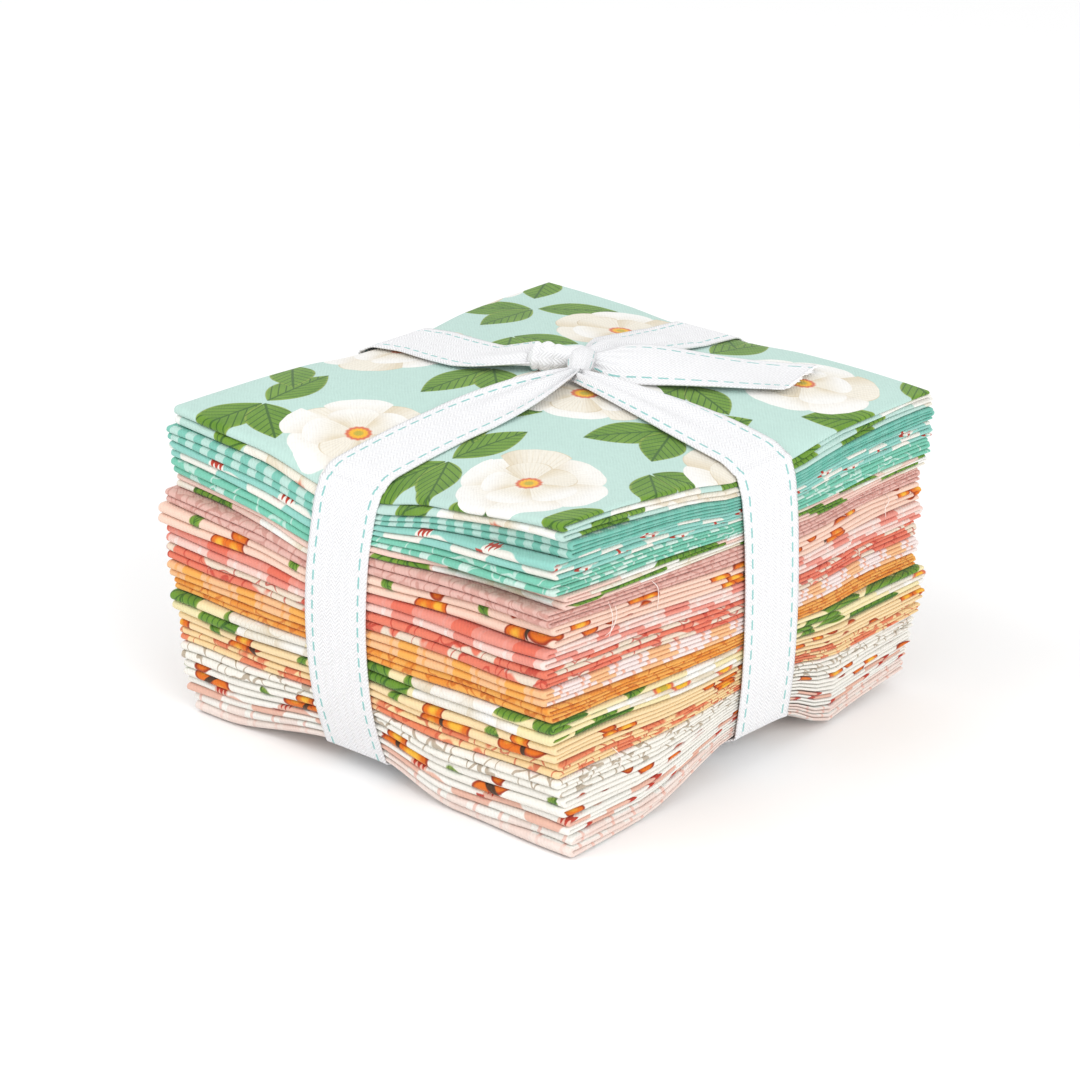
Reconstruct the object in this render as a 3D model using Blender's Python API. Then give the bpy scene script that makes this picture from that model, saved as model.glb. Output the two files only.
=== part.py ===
"""Fat quarter bundle: eighteen folded quilting cottons, tied both ways with a twill ribbon.

Lengths are worked out in millimetres from the middle of the stack's plan, and turned into metres
from the middle of the whole box when a mesh is made. +Z is up, the folded rolls face -Y, and the
ends of the layers face +X.
"""

import math

import bmesh
import bpy
import numpy as np

MM = 0.001

# The stack: a fat quarter is 18 x 22 in, folded to 5.5 x 6 in, in four layers of three plies
STACK_WIDTH = 140.0
STACK_DEPTH = 152.0
STACK_HEIGHT = 90.4
# The middle of the whole box in plan, which becomes the origin: the rolls stand out past the stack
BOX_MIDDLE = (-1.3, -2.0)
LAYERS = 4
FABRIC_GAP = 0.5
LAYER_GAP = 0.15
# Every layer turns at this line, and its fold then stands out as far as the fabric's row says
FOLD_LINE = STACK_DEPTH / 2 - 4.5
# A fold's points from its upper to its lower layer: height, and inset from its tip, in half heights
FOLD_PROFILE = ((0.8, 0.45), (0.0, 0.0), (-0.8, 0.45))

# The ribbon: 7/8 in twill tape, one pass along Y at RIBBON_X and one along X at RIBBON_Y
RIBBON_WIDTH = 22.2
RIBBON_THICK = 1.0
RIBBON_X = -6.0
RIBBON_Y = 3.5
RIBBON_CLEAR = 0.5
CROSSING_STEP = 0.6
ZONE_HALF = 12.0
LOBE_START = 33.0
# Each pass rounds the stack's edges by this much, and has points at these shares of each side
EDGE_ROUNDING = 0.8
SIDE_SHARES = (0.33, 0.67)
# On top it has points this far from the knot, from the other pass and from the stack's edge
KNOT_STEP = 5.0
GATHER_STEP = 22.0
EDGE_STEP = 26.0

# How the ribbon shapes the stack: the middle rises, and each side is drawn in where it is tied
DOME = 4.0
PULL_IN = 0.5
TOP_PINCH = {"-Y": 7.0, "+X": 5.0, "+Y": 5.0, "-X": 4.0}
BOTTOM_LIFT = {"-Y": 6.5, "+X": 9.0, "+Y": 5.0, "-X": 5.0}
BOTTOM_TROUGH = 2.9
TOP_CORNER = {("+X", "-Y"): 1.2, ("-X", "-Y"): 0.0, ("-X", "+Y"): 0.5, ("+X", "+Y"): -2.3}
BOTTOM_CORNER_LIFT = 3.5

# The knot and the one free end, from the middle of the knot
KNOT_X = -4.0
KNOT_Y = 4.0
KNOT_HALF = (10.0, 7.0, 4.6)
KNOT_TURN = math.radians(-38.0)
# The turn of ribbon over the knot, a ring that is narrowed and flattened
WRAP_RADIUS = 5.4
WRAP_TUBE = 2.3
WRAP_SCALE = (1.15, 0.72, 1.6)
WRAP_DROP = 0.2
# The ribbon's size at the knot, and where it widens, thins and settles: a start and a length
GATHERED_WIDTH = 7.0
GATHERED_THICK = 3.0
GATHERED_RISE = 3.2
WIDENS = (4.0, 34.0)
THINS = (3.0, 18.0)
SETTLES = (2.0, 22.0)

# One row for each fabric, top to bottom. share: its part of the height, which is divided by their
# sum. The rest is how far its folds or layer ends stand out past the plan, in mm: the rolls (-Y) at
# their left and front ends, the left ends (-X), the layer ends (+X) at the front and right corners,
# and the back folds (+Y) at the right corner.
COLUMNS = ("share", "roll_left", "roll_front", "left", "side_front", "side_right", "back_right")
FABRICS = (
    (1.10, 0.8, 1.0, 0.8, -0.8, 0.3, 0.3),
    (0.85, 2.6, -2.0, 2.0, -0.4, 0.7, 0.6),
    (1.00, 2.0, 2.4, 1.8, -1.6, 0.5, 0.4),
    (0.95, 1.6, 2.6, 2.0, -2.0, 0.2, 0.3),
    (0.80, 0.2, -1.4, 2.2, -2.2, -0.5, -0.2),
    (0.90, 3.4, 3.4, 3.0, -3.2, -1.2, -1.4),
    (1.15, 5.0, 0.6, 4.2, -3.6, -1.4, -1.2),
    (1.05, 3.6, 3.6, 3.2, -3.8, -0.8, -0.8),
    (1.00, 3.4, 3.6, 3.4, -3.8, -1.8, -1.8),
    (1.00, 3.2, 3.8, 2.8, -3.8, -1.4, -1.2),
    (0.80, 2.0, 2.6, 2.2, -3.0, -1.2, -1.8),
    (1.25, 3.2, 2.4, 2.4, -2.4, -0.2, 0.6),
    (1.00, 1.4, 2.0, 1.6, -1.8, -0.1, 0.0),
    (0.85, 0.6, 0.6, 1.6, -1.2, -0.8, -0.8),
    (1.05, 1.8, 1.4, 1.2, -0.8, -1.8, -1.6),
    (1.05, 1.0, 0.6, 0.8, -0.2, -2.2, -2.0),
    (0.95, 0.2, -0.8, 0.6, 0.4, -2.8, -2.8),
    (1.10, -1.2, -1.2, -0.8, 1.2, -3.4, -3.4),
)

# The colour of each fabric, top to bottom, then of the ribbon
FABRIC_COLOURS = (
    (0.72, 0.86, 0.80), (0.45, 0.76, 0.69), (0.55, 0.78, 0.72), (0.50, 0.80, 0.71),
    (0.93, 0.80, 0.76), (0.83, 0.60, 0.56), (0.96, 0.74, 0.66), (0.95, 0.62, 0.54),
    (0.93, 0.52, 0.42), (0.97, 0.78, 0.45), (0.93, 0.58, 0.20), (0.96, 0.89, 0.68),
    (0.97, 0.86, 0.66), (0.96, 0.78, 0.45), (0.95, 0.93, 0.87), (0.95, 0.93, 0.88),
    (0.94, 0.90, 0.86), (0.95, 0.90, 0.87),
)
RIBBON_COLOUR = (0.95, 0.95, 0.96)
CLOTH_ROUGHNESS = 0.85

HALF_X = STACK_WIDTH / 2
HALF_Y = STACK_DEPTH / 2

# Lines across the plan where every fabric has points, so that neighbours keep their gap
X_LINES = (-HALF_X, RIBBON_X - LOBE_START, RIBBON_X - ZONE_HALF,
           RIBBON_X + ZONE_HALF, RIBBON_X + LOBE_START, HALF_X)
Y_LINES = (-HALF_Y, RIBBON_Y - LOBE_START, RIBBON_Y - ZONE_HALF,
           RIBBON_Y + ZONE_HALF, RIBBON_Y + LOBE_START, HALF_Y)


def clear_scene():
    for obj in list(bpy.data.objects):
        bpy.data.objects.remove(obj, do_unlink=True)


def cloth(name, colour):
    material = bpy.data.materials.new(name)
    material.use_nodes = True
    shader = material.node_tree.nodes["Principled BSDF"]
    shader.inputs["Base Color"].default_value = (*colour, 1.0)
    shader.inputs["Roughness"].default_value = CLOTH_ROUGHNESS
    shader.inputs["Metallic"].default_value = 0.0
    return material


def metres(x, y, z):
    """A place in mm from the stack's middle, in metres from the origin."""
    return ((x - BOX_MIDDLE[0]) * MM, (y - BOX_MIDDLE[1]) * MM, z * MM)


def mesh_object(name, points, faces, material=None):
    """A closed mesh from points in mm, with its faces turned outwards."""
    mesh = bpy.data.meshes.new(name)
    mesh.from_pydata([metres(*point) for point in points], [], faces)
    shell = bmesh.new()
    shell.from_mesh(mesh)
    bmesh.ops.recalc_face_normals(shell, faces=shell.faces)
    shell.to_mesh(mesh)
    shell.free()
    obj = bpy.data.objects.new(name, mesh)
    bpy.context.scene.collection.objects.link(obj)
    if material:
        mesh.materials.append(material)
    return obj


def near_tie(offset):
    """1 under the ribbon, falling to 0 towards the corners."""
    away = (abs(offset) - ZONE_HALF) / (HALF_X - ZONE_HALF)
    return (1.0 - min(max(away, 0.0), 1.0)) ** 1.5


def sides_at(x, y):
    """The side that each coordinate is nearer to, and how near, from 0 in the middle to 1."""
    return (("+X" if x > 0 else "-X", abs(x) / HALF_X), ("+Y" if y > 0 else "-Y", abs(y) / HALF_Y))


def top_height(x, y):
    (side_x, near_x), (side_y, near_y) = sides_at(x, y)
    dome = DOME * (1 - near_x**2) * (1 - near_y**2)
    pinch = TOP_PINCH[side_y] * near_y**2 * near_tie(x - RIBBON_X)
    pinch += TOP_PINCH[side_x] * near_x**2 * near_tie(y - RIBBON_Y)
    corner = TOP_CORNER[side_x, side_y] * (near_x * near_y) ** 2
    return STACK_HEIGHT + dome - pinch + corner


def bottom_height(x, y):
    """0 where the stack rests: its four quarters stay flat, and only the right corner lifts."""
    (side_x, near_x), (side_y, near_y) = sides_at(x, y)
    lift = 0.0
    for side, near, offset in ((side_y, near_y, x - RIBBON_X), (side_x, near_x, y - RIBBON_Y)):
        if abs(offset) < LOBE_START - 1:
            lift = max(lift, BOTTOM_TROUGH + (BOTTOM_LIFT[side] - BOTTOM_TROUGH) * near**3)
    if (side_x, side_y) == ("+X", "+Y") and near_x > 0.99 and near_y > 0.99:
        lift = BOTTOM_CORNER_LIFT
    return lift


TOP_GRID = np.array([[top_height(x, y) for y in Y_LINES] for x in X_LINES])
BOTTOM_GRID = np.array([[bottom_height(x, y) for y in Y_LINES] for x in X_LINES])


def cell(lines, value):
    """The two lines that a value lies between, and its share of the way. It may pass the ends."""
    index = min(max(int(np.searchsorted(lines, value)) - 1, 0), len(lines) - 2)
    return index, (value - lines[index]) / (lines[index + 1] - lines[index])


def on_grid(grid, x, y):
    i, u = cell(X_LINES, x)
    j, v = cell(Y_LINES, y)
    low = grid[i, j] * (1 - u) + grid[i + 1, j] * u
    high = grid[i, j + 1] * (1 - u) + grid[i + 1, j + 1] * u
    return low * (1 - v) + high * v


def stack_level(share_above, x, y):
    """The height in the stack with this share of it above."""
    top = on_grid(TOP_GRID, x, y)
    return top - share_above * (top - on_grid(BOTTOM_GRID, x, y))


def loose(offset):
    """0 under the ribbon, where every edge is held in line, and 1 at the corners."""
    away = (abs(offset) - ZONE_HALF) / (LOBE_START - ZONE_HALF)
    return min(max(away, 0.0), 1.0)


def stands_out(first, last, value, half, tie):
    """How far an edge stands out at this place along it, from its stand-outs at both corners."""
    along = (value + half) / (2 * half)
    free = loose(value - tie)
    return free * (first + (last - first) * along) - (1 - free) * PULL_IN


def fabric_mesh(name, row, share_above, material):
    """One back-and-forth section of four layers, carried across the stack from -X to +X."""
    share_below = share_above + row["share"]

    def front(x):
        return -HALF_Y - stands_out(row["roll_left"], row["roll_front"], x, HALF_X, RIBBON_X)

    def back(x):
        return HALF_Y + stands_out(-0.5 * row["left"], row["back_right"], x, HALF_X, RIBBON_X)

    def right(y):
        return HALF_X + stands_out(row["side_front"], row["side_right"], y, HALF_Y, RIBBON_Y)

    def left(y):
        return -HALF_X - stands_out(row["left"], 0.4 * row["left"], y, HALF_Y, RIBBON_Y)

    def x_at(index, y):
        if index == 0:
            return left(y)
        if index == len(X_LINES) - 1:
            return right(y)
        return X_LINES[index]

    def layer_faces(layer, x, y):
        """The height of the layer's upper and lower face."""
        upper = stack_level(share_above, x, y) - FABRIC_GAP
        lower = stack_level(share_below, x, y)
        pitch = (upper - lower + LAYER_GAP) / LAYERS
        return upper - layer * pitch, upper - (layer + 1) * pitch + LAYER_GAP

    def section(index):
        """The section's outer and inner line at one X line, from the top layer's back end."""
        pairs = []
        for layer in range(LAYERS):
            forward = layer % 2 == 0
            ys = [-FOLD_LINE, *Y_LINES[1:-1], FOLD_LINE]
            if forward:
                ys.reverse()
            for y in ys:
                x = x_at(index, y)
                upper, lower = layer_faces(layer, x, y)
                sides = ((x, y, upper), (x, y, lower))
                pairs.append(sides if forward else sides[::-1])
            if layer < LAYERS - 1:
                pairs.extend(fold(index, layer, -1 if forward else 1))
        return pairs

    def fold(index, layer, way):
        """The points round a fold at the front (way -1) or the back, down to the layer below."""
        turn_y = way * FOLD_LINE
        tip_y = (front if way < 0 else back)(X_LINES[index])
        x = x_at(index, turn_y)
        upper, inner_upper = layer_faces(layer, x, turn_y)
        inner_lower, lower = layer_faces(layer + 1, x, turn_y)
        middle = (upper + lower) / 2
        for height, inset in FOLD_PROFILE:
            around = []
            for reach, wall in ((upper - middle, 0.0), (inner_upper - middle, upper - inner_upper)):
                y = tip_y - way * (wall + inset * reach)
                around.append((x, y, middle + height * reach))
            yield around if layer % 2 == 0 else around[::-1]

    sections = [section(index) for index in range(len(X_LINES))]
    stations = len(sections[0])
    points = [point for pairs in sections for pair in pairs for point in pair]

    def number(index, station, side):
        return (index * stations + station) * 2 + side

    faces = []
    for index in range(len(X_LINES) - 1):
        for station in range(stations - 1):
            back_to_front = sections[index][station][0][1] > sections[index][station + 1][0][1]
            for side in (0, 1):
                a = number(index, station, side)
                b = number(index + 1, station, side)
                c = number(index + 1, station + 1, side)
                d = number(index, station + 1, side)
                faces += [(a, b, d), (b, c, d)] if back_to_front else [(a, b, c), (a, c, d)]
        for station in (0, stations - 1):
            faces.append([number(index, station, 0), number(index, station, 1),
                          number(index + 1, station, 1), number(index + 1, station, 0)])
    for index in (0, len(X_LINES) - 1):
        for station in range(stations - 1):
            faces.append([number(index, station, 0), number(index, station, 1),
                          number(index, station + 1, 1), number(index, station + 1, 0)])
    return mesh_object(name, points, faces, material)


def build_fabrics():
    rows = [dict(zip(COLUMNS, row)) for row in FABRICS]
    total = sum(row["share"] for row in rows)
    above = 0.0
    for number, (row, colour) in enumerate(zip(rows, FABRIC_COLOURS), start=1):
        row["share"] /= total
        name = f"fabric_{number:02d}"
        fabric_mesh(name, row, above, cloth(name, colour))
        above += row["share"]


def eased(value):
    value = min(max(value, 0.0), 1.0)
    return value * value * (3 - 2 * value)


def gather(distance):
    """The ribbon's width, thickness and lift at this distance from the middle of the knot."""
    wide, thin, settled = (eased((distance - start) / length) for start, length in (WIDENS, THINS, SETTLES))
    width = GATHERED_WIDTH + (RIBBON_WIDTH - GATHERED_WIDTH) * wide
    thick = GATHERED_THICK + (RIBBON_THICK - GATHERED_THICK) * thin
    return width, thick, GATHERED_RISE * (1 - settled)


def swept_strip(name, rings, closed):
    """A strip through rings of four corners each, joined into a loop or capped at its ends."""
    points = [corner for ring in rings for corner in ring]
    faces = []
    count = len(rings)
    for ring in range(count if closed else count - 1):
        after = (ring + 1) % count
        for corner in range(4):
            side = (corner + 1) % 4
            faces.append([4 * ring + corner, 4 * ring + side, 4 * after + side, 4 * after + corner])
    if not closed:
        faces.append([0, 1, 2, 3])
        faces.append([4 * (count - 1) + corner for corner in (3, 2, 1, 0)])
    return mesh_object(name, points, faces)


def ribbon_pass(name, along_y, step):
    """One pass round the stack, as a closed loop: over the top, and beneath it again."""
    half, tie, middle = (HALF_Y, RIBBON_X, RIBBON_Y) if along_y else (HALF_X, RIBBON_Y, RIBBON_X)
    knot = KNOT_Y if along_y else KNOT_X
    lines = Y_LINES if along_y else X_LINES
    face = half - PULL_IN
    shift = RIBBON_CLEAR + step
    rings = []

    def place(along, across, z):
        return (across, along, z) if along_y else (along, across, z)

    def ring(along, level, width, thick, out):
        """Four corners round the ribbon. out is the way its outer face looks, as (along, up)."""
        corners = []
        for side, depth in ((-1, 0), (1, 0), (1, thick), (-1, thick)):
            across = tie + side * width / 2
            corners.append(place(along + out[0] * depth, across, level(across, along) + out[1] * depth))
        rings.append(corners)

    def grid_level(grid, offset):
        def level(across, along):
            inside = min(max(along, -half), half)
            return on_grid(grid, *place(inside, across, 0)[:2]) + offset
        return level

    def top(along):
        width, thick, lift = gather(abs(along - knot))
        ring(along, grid_level(TOP_GRID, shift + lift), width, thick, (0, 1))

    def edge(grid, sign, up, downwards):
        """Round the stack's edge, between its top or bottom (up 1 or -1) and its side."""
        corner = grid_level(grid, 0)(tie, sign * face)
        slant = math.sqrt(0.5)
        turned = [(-EDGE_ROUNDING, up * shift, (0, up)),
                  (shift * slant, up * shift * slant, (sign * slant, up * slant)),
                  (shift, -up * EDGE_ROUNDING, (sign, 0))]
        for past, rise, out in turned if downwards == (up > 0) else reversed(turned):
            ring(sign * (face + past), lambda *_: corner + rise, RIBBON_WIDTH, RIBBON_THICK, out)

    def side(sign, downwards):
        high = grid_level(TOP_GRID, 0)(tie, sign * face)
        low = grid_level(BOTTOM_GRID, 0)(tie, sign * face)
        for share in reversed(SIDE_SHARES) if downwards else SIDE_SHARES:
            z = low + share * (high - low)
            ring(sign * (face + shift), lambda *_: z, RIBBON_WIDTH, RIBBON_THICK, (sign, 0))

    for along in (knot, knot - KNOT_STEP, lines[2], middle - GATHER_STEP, lines[1], EDGE_STEP - half):
        top(along)
    edge(TOP_GRID, -1, 1, True)
    side(-1, True)
    edge(BOTTOM_GRID, -1, -1, True)
    for along in lines[1:-1]:
        ring(along, grid_level(BOTTOM_GRID, -shift), RIBBON_WIDTH, RIBBON_THICK, (0, -1))
    edge(BOTTOM_GRID, 1, -1, False)
    side(1, False)
    edge(TOP_GRID, 1, 1, False)
    for along in (half - EDGE_STEP, lines[4], middle + GATHER_STEP, lines[3], knot + KNOT_STEP):
        top(along)
    return swept_strip(name, rings, closed=True)


def knot_level():
    return on_grid(TOP_GRID, KNOT_X, KNOT_Y) + RIBBON_CLEAR + CROSSING_STEP + KNOT_HALF[2]


def knot_body(name):
    bpy.ops.mesh.primitive_uv_sphere_add(segments=16, ring_count=10, radius=MM)
    obj = bpy.context.active_object
    obj.name = name
    obj.scale = KNOT_HALF
    obj.rotation_euler = (0, 0, KNOT_TURN)
    obj.location = metres(KNOT_X, KNOT_Y, knot_level())
    bpy.ops.object.transform_apply(location=True, rotation=True, scale=True)
    return obj


def knot_wrap(name):
    """The turn of ribbon that passes over the gathered strands, across the knot."""
    bpy.ops.mesh.primitive_torus_add(
        major_segments=20, minor_segments=8, major_radius=WRAP_RADIUS * MM, minor_radius=WRAP_TUBE * MM,
        location=metres(KNOT_X, KNOT_Y, knot_level() - WRAP_DROP),
        rotation=(math.radians(90), 0, KNOT_TURN + math.radians(90)))
    obj = bpy.context.active_object
    obj.name = name
    obj.scale = WRAP_SCALE
    bpy.ops.object.transform_apply(location=True, rotation=True, scale=True)
    return obj


# The free end's middle line, from the knot: place, width, thickness, and rise over the top fabric
TAIL_COLUMNS = ("x", "y", "width", "thick", "rise")
TAIL = (
    (-3.0, 5.0, 7.0, 3.0, 4.6),
    (5.0, 12.5, 10.0, 2.2, 4.2),
    (12.0, 19.5, 15.0, 1.5, 3.8),
    (20.0, 28.0, 20.0, 1.1, 2.8),
    (28.0, 36.5, 22.0, 1.0, 1.8),
    (36.0, 45.0, 22.2, 1.0, 1.2),
    (43.0, 52.0, 22.2, 1.0, 0.9),
)
# Its end is cut at a slant: the far edge is this much longer than the near one
TAIL_SLANT = 9.0


def tail(name):
    rows = [dict(zip(TAIL_COLUMNS, row)) for row in TAIL]
    heading = math.atan2(rows[-1]["y"] - rows[0]["y"], rows[-1]["x"] - rows[0]["x"])
    ahead = (math.cos(heading), math.sin(heading))
    rings = []
    for row in rows:
        slant = TAIL_SLANT if row is rows[-1] else 0.0
        ring = []
        for side, up in ((-1, 0), (1, 0), (1, 1), (-1, 1)):
            across = side * row["width"] / 2
            past = side * slant / 2
            x = row["x"] - across * ahead[1] + past * ahead[0]
            y = row["y"] + across * ahead[0] + past * ahead[1]
            z = on_grid(TOP_GRID, x, y) + RIBBON_CLEAR + row["rise"] + up * row["thick"]
            ring.append((x, y, z))
        rings.append(ring)
    return swept_strip(name, rings, closed=False)


def build_ribbon():
    """One length of ribbon, so its passes, knot and free end are joined into one solid."""
    ribbon = ribbon_pass("ribbon", True, 0.0)
    ribbon.data.materials.append(cloth("ribbon", RIBBON_COLOUR))
    joined = (ribbon_pass("cross_pass", False, CROSSING_STEP), knot_body("knot_body"),
              knot_wrap("knot_wrap"), tail("free_end"))
    for piece in joined:
        piece.hide_render = True
        piece.display_type = "WIRE"
        union = ribbon.modifiers.new(piece.name, "BOOLEAN")
        union.operation = "UNION"
        union.object = piece
    return ribbon


def main():
    clear_scene()
    build_fabrics()
    build_ribbon()


main()
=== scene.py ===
"""Looks of the fat quarter bundle: eighteen folded cotton sheets with their prints, the tape tied round
them both ways, and a few single threads.

Lengths are in millimetres until a mesh is made. Each fabric is one thin sheet, folded as on the CAD
part: four layers back and forth along Y, and each layer three plies deep across X. The rolls of its
folds face -Y, the front, and the ends of its layers face +X, the right.
"""

import math

import bpy
import numpy as np
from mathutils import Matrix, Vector


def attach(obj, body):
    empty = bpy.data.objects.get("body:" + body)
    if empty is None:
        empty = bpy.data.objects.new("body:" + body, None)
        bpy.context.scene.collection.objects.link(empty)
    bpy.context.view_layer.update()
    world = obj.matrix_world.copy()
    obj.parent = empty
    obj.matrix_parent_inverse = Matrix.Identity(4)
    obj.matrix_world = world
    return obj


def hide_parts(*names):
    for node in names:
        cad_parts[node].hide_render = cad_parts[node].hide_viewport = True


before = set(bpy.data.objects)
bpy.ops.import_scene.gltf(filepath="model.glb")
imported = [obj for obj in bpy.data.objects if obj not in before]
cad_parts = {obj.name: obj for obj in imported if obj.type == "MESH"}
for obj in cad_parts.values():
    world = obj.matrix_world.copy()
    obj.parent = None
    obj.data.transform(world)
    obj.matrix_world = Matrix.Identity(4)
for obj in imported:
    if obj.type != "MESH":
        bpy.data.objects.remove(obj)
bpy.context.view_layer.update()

MM = 0.001

# The stack's own sizes, as on the CAD part, and the middle of the whole box, which is the origin
BOX_MIDDLE = (-1.3, -2.0)
HALF_X = 70.0
HALF_Y = 76.0
STACK_HEIGHT = 90.4
LAYERS = 4

# Where the tape's two passes lie, its width, and half the width of cloth that it holds. From the zone's
# edge the cloth comes free: its top and base by LOBE_START, and its sides by FREE_FROM
RIBBON_X = -6.0
RIBBON_Y = 3.5
RIBBON_WIDTH = 22.2
ZONE_HALF = 12.0
ZONE_EDGE = ZONE_HALF - 1
LOBE_START = 33.0
FREE_FROM = 54.0

# The top: its dome, how far each edge is drawn down by the tape, how far each corner stands up, and how
# far a tied edge rounds down, over which share of the half plan
DOME = 4.0
TOP_PINCH = {"-Y": 7.0, "+X": 5.0, "+Y": 1.0, "-X": 0.5}
TOP_CORNER = {("+X", "-Y"): 1.2, ("-X", "-Y"): 0.0, ("-X", "+Y"): 0.5, ("+X", "+Y"): -2.3}
EDGE_DROP = 1.6
ROUNDS_ALONG_X = (0.90, 0.99)
ROUNDS_ALONG_Y = (0.91, 0.99)
# Rolls and layer ends stand out past the plan, and the top is worked out to this share of it
PLAN_REACH = 1.08

# The tied part of a side: how far it is pulled in, bulges at mid height, and draws in at its top and at
# its base, over which share of the height
PULL_IN = 0.5
FACE_BULGE = {"-Y": 5.2, "+X": 2.2, "+Y": 2.2, "-X": 2.2}
TOP_TUCK = 1.6
TOP_TUCK_SPAN = (-0.02, 0.06)
BOTTOM_TUCK = {"-Y": 1.6, "+X": 0.3, "+Y": 3.0, "-X": 3.0}
BOTTOM_TUCK_SPAN = (0.76, 1.05)

# The tie's lift fades upwards at this power. Its pinch fades downwards over this share of the height,
# which is greater in the front left quarter. The two shares blend over these lengths
LIFT_FADES = 3.6
PINCH_FADES = 0.28
PINCH_FADES_LEFT = 0.62
LEFT_BLEND = 8.0
FRONT_BLEND = 30.0

# The base: how far the tape lifts its middle and each edge, and where that rise ends to both sides of the
# tape, which is further out at the front
BOTTOM_TROUGH = 2.9
BOTTOM_LIFT = {"-Y": 7.2, "+X": 12.0, "+Y": 5.0, "-X": 5.0}
RISE_FROM = ZONE_HALF - 6
RISE_ENDS = LOBE_START + 3
RISE_ENDS_FRONT = LOBE_START + 18
BASE_REACH = 1.05
# The base's back right corner stands up too. It rises from here, over this length, along X and along Y
BOTTOM_CORNER_LIFT = 5.5
CORNER_RAMP_X = (30.0, 40.0)
CORNER_RAMP_Y = (26.0, 50.0)
RAMP_REACH = 1.1

# One row for each fabric, top to bottom: its share of the height, how far it stands out past the plan at
# its rolls' left and right ends, at its left side, at its right side's front and back ends, and at its
# back's right end, and its print
COLUMNS = ("share", "roll_left", "roll_front", "left", "side_front", "side_right", "back_right", "print")
FABRICS = (
    (1.10, 0.8, 1.0, 0.8, -0.8, 0.3, 0.3, "garden_aqua"),
    (0.85, 2.6, -2.0, 2.2, 0.2, 0.9, 0.6, "gingham_teal"),
    (1.00, 2.0, 2.4, 1.8, -2.0, 0.6, 0.4, "birds_aqua"),
    (0.95, 1.6, 2.6, 2.0, -2.2, 0.2, 0.3, "sketch_sea"),
    (0.80, 0.2, -1.6, 1.6, -1.2, -0.4, -0.2, "garden_pink"),
    (0.90, 3.4, 3.4, 3.0, -3.2, -1.4, -1.4, "sketch_rose"),
    (1.15, 5.0, 0.6, 4.4, -3.6, -1.4, -1.2, "butterfly_peach"),
    (1.05, 3.6, 3.6, 3.2, -3.8, -0.8, -0.8, "plaid_coral"),
    (1.00, 3.4, 3.6, 3.4, -3.8, -1.8, -1.8, "patch_coral"),
    (1.00, 3.2, 3.8, 2.8, -3.8, -1.4, -1.2, "plaid_yellow"),
    (0.80, 2.0, 2.6, 2.0, -2.8, -1.8, -1.8, "patch_orange"),
    (1.25, 3.2, 2.4, 2.6, -2.4, 0.2, 0.6, "garden_yellow"),
    (1.00, 1.4, 2.0, 1.4, -1.8, 0.2, 0.0, "butterfly_apricot"),
    (0.85, 0.6, 0.6, 1.8, -1.2, -0.6, -0.8, "patch_apricot"),
    (1.05, 1.8, 1.4, 1.2, -0.8, -1.8, -1.6, "line_cream"),
    (1.05, 1.0, 0.6, 0.8, -0.2, -2.2, -2.0, "butterfly_cream"),
    (0.95, 0.2, -0.8, 0.6, 0.4, -2.8, -2.8, "birds_cream"),
    (1.10, -1.2, -1.2, -0.8, 1.2, -3.4, -3.4, "plaid_cream"),
)
ROWS = [dict(zip(COLUMNS, row)) for row in FABRICS]

# A fat quarter's cut, 18 x 22 in
# UV 1 is this much flat cloth
UV_SPAN = 650.0

rng = np.random.default_rng(18)

# A layer in section: two plies lie this share of its pitch above and below its middle, and the third one
# between them. They turn round at both sides over these lengths, and each flap ends short of the far side
PLY_RISE = 0.45
RIGHT_TURN = 0.9
LEFT_TURN = 0.7
LOWER_FLAP_SHORT = 0.8
TUCKED_FLAP_SHORT = 3.0
# A column of vertices on the ply in the middle, where lengths along the cloth are measured
MIDDLE_COLUMN = -6

# A fold stands out this many times as far as a half circle would, and is a little squarer than one. The
# front folds show and have more steps
FOLD_STRETCH = 1.35
FOLD_SQUARE = (0.85, 0.9)
FRONT_STEPS = 10
BACK_STEPS = 7
# The cloth's two cut ends, in the top layer and the bottom one, lie this far in from the back
CUT_ENDS = {0: 1.8, LAYERS - 1: 0.9}

# Edges are moved out or in from this far from the middle. They wander by so much, and beneath the tape
# only by this share of it
EDGE_MOVES_FROM = 10.0
ROLL_WANDERS = 0.55
ROLL_HELD = 0.12
BAND_WANDERS = 0.35
BAND_HELD = 0.2
# The waves of two layers are read this far apart, so that they are unlike
LAYER_STEP = 37.0
# Each fabric's thickness changes by this share from place to place
THICKNESS_VARIES = 0.10
# The air between two fabrics, as a share of their height
FABRIC_GAP = 0.02


def smoothstep(low, high, value):
    t = np.clip((value - low) / (high - low), 0.0, 1.0)
    return t * t * (3 - 2 * t)


class Waves:
    """Slow seeded unevenness over two directions, from -1 to 1 or so."""

    def __init__(self, size, count=6):
        turn = rng.uniform(0, 2 * math.pi, count)
        pace = 2 * math.pi / (size * rng.uniform(0.7, 1.6, count))
        self.rows = list(zip(pace * np.cos(turn), pace * np.sin(turn), rng.uniform(0, 6.3, count)))

    def __call__(self, x, y):
        total = sum(np.sin(a * x + b * y + c) for a, b, c in self.rows)
        return total / math.sqrt(len(self.rows) * 1.4)


def near_tie(offset):
    """1 beneath the tape, falling to 0 at the plan's edge."""
    away = np.clip((np.abs(offset) - ZONE_HALF) / (HALF_X - ZONE_HALF), 0.0, 1.0)
    return (1.0 - away) ** 1.5


def loose(offset):
    """0 beneath the tape, rising to 1 where the cloth lies free."""
    return smoothstep(ZONE_EDGE, LOBE_START, np.abs(offset))


def ramp(value, start, length):
    return np.clip((value - start) / length, 0, RAMP_REACH)


def by_side(table, x, plus, minus):
    return np.where(x > 0, table[plus], table[minus])


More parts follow.
